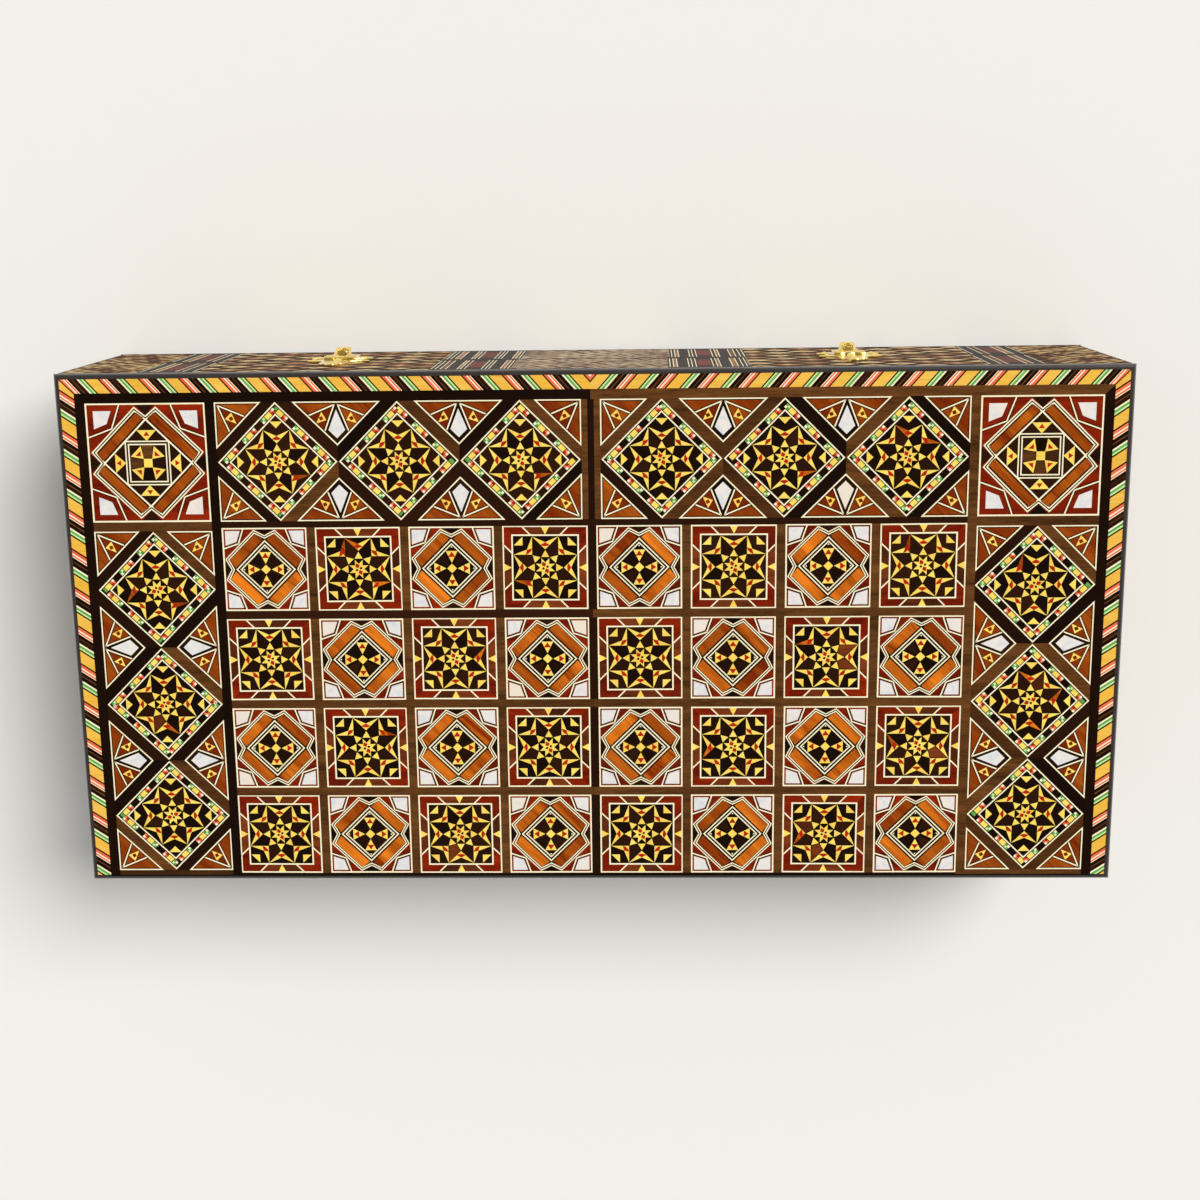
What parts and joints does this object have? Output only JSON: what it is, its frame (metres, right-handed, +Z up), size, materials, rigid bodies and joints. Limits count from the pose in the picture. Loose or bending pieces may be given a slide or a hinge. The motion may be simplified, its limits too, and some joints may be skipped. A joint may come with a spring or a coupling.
{
  "type": "chess box with hinged lid",
  "caption": "Folding wooden games box: hinged marquetry trays, closed by brass hasp latches, that open flat into a chessboard with a backgammon field inside.",
  "frame": {"origin": "centre of the closed box's underside, which is the base tray's outer face", "axes": "+X along the hinge, -Y towards the latches, +Z up from the base to the lid"},
  "size_m": [0.5, 0.2582, 0.11],
  "materials": {
    "walnut_ground": "lacquered walnut veneer",
    "star_mosaic": "lacquered marquetry, dark squares",
    "pearl_mosaic": "lacquered marquetry with mother-of-pearl, light squares",
    "corner_mosaic": "lacquered marquetry with mother-of-pearl",
    "medallion_mosaic": "lacquered marquetry, diamonds and triangles",
    "stripe_inlay": "lacquered striped inlay",
    "wall_mosaic": "lacquered fine mosaic veneer",
    "dark_hardwood": "lacquered dark hardwood",
    "rim_wood": "lacquered walnut",
    "core_wood": "oiled beech and plywood, stained",
    "playing_field": "lacquered inlaid field",
    "latch_brass": "polished brass",
    "hinge_brass": "polished brass"
  },
  "bodies": {
    "base": {"base_board_ground": "walnut_ground", "base_corner_strips": "dark_hardwood", "base_corner_tiles": "corner_mosaic", "base_edge_strips": "dark_hardwood", "base_floor_board": "core_wood", "base_front_rail": "core_wood", "base_front_veneer": "wall_mosaic", "base_hinge_rail": "core_wood", "base_hinge_veneer": "wall_mosaic", "base_left_rail": "core_wood", "base_left_veneer": "wall_mosaic", "base_medallion_panels": "medallion_mosaic", "base_pearl_tiles": "pearl_mosaic", "base_playing_field": "playing_field", "base_right_rail": "core_wood", "base_right_veneer": "wall_mosaic", "base_rim_strips": "rim_wood", "base_star_tiles": "star_mosaic", "base_stripe_bands": "stripe_inlay", "catch_plate_left": "latch_brass", "catch_plate_right": "latch_brass", "hinge_leaf_base_left": "hinge_brass", "hinge_leaf_base_right": "hinge_brass", "hinge_pin_left": "hinge_brass", "hinge_pin_right": "hinge_brass", "hinge_screws_base": "hinge_brass", "latch_screws_base": "latch_brass"},
    "lid": {"hinge_leaf_lid_left": "hinge_brass", "hinge_leaf_lid_right": "hinge_brass", "hinge_screws_lid": "hinge_brass", "latch_pin_left": "latch_brass", "latch_pin_right": "latch_brass", "latch_plate_left": "latch_brass", "latch_plate_right": "latch_brass", "latch_rivets": "latch_brass", "latch_screws_lid": "latch_brass", "lid_board_ground": "walnut_ground", "lid_corner_strips": "dark_hardwood", "lid_corner_tiles": "corner_mosaic", "lid_edge_strips": "dark_hardwood", "lid_floor_board": "core_wood", "lid_front_rail": "core_wood", "lid_front_veneer": "wall_mosaic", "lid_hinge_rail": "core_wood", "lid_hinge_veneer": "wall_mosaic", "lid_left_rail": "core_wood", "lid_left_veneer": "wall_mosaic", "lid_medallion_panels": "medallion_mosaic", "lid_pearl_tiles": "pearl_mosaic", "lid_playing_field": "playing_field", "lid_right_rail": "core_wood", "lid_right_veneer": "wall_mosaic", "lid_rim_strips": "rim_wood", "lid_star_tiles": "star_mosaic", "lid_stripe_bands": "stripe_inlay"},
    "left_hasp": {"latch_flap_left": "latch_brass"},
    "right_hasp": {"latch_flap_right": "latch_brass"}
  },
  "joints": [
    {"name": "lid_hinge", "type": "hinge", "parent": "base", "child": "lid", "pos_m": [0, 0.12525, 0.055], "axis": [-1, 0, 0], "range_deg": [0, 180]},
    {"name": "left_hasp_hinge", "type": "hinge", "parent": "lid", "child": "left_hasp", "pos_m": [-0.125, -0.1264, 0.0565], "axis": [-1, 0, 0], "range_deg": [0, 135]},
    {"name": "right_hasp_hinge", "type": "hinge", "parent": "lid", "child": "right_hasp", "pos_m": [0.125, -0.1264, 0.0565], "axis": [-1, 0, 0], "range_deg": [0, 135]}
  ]
}
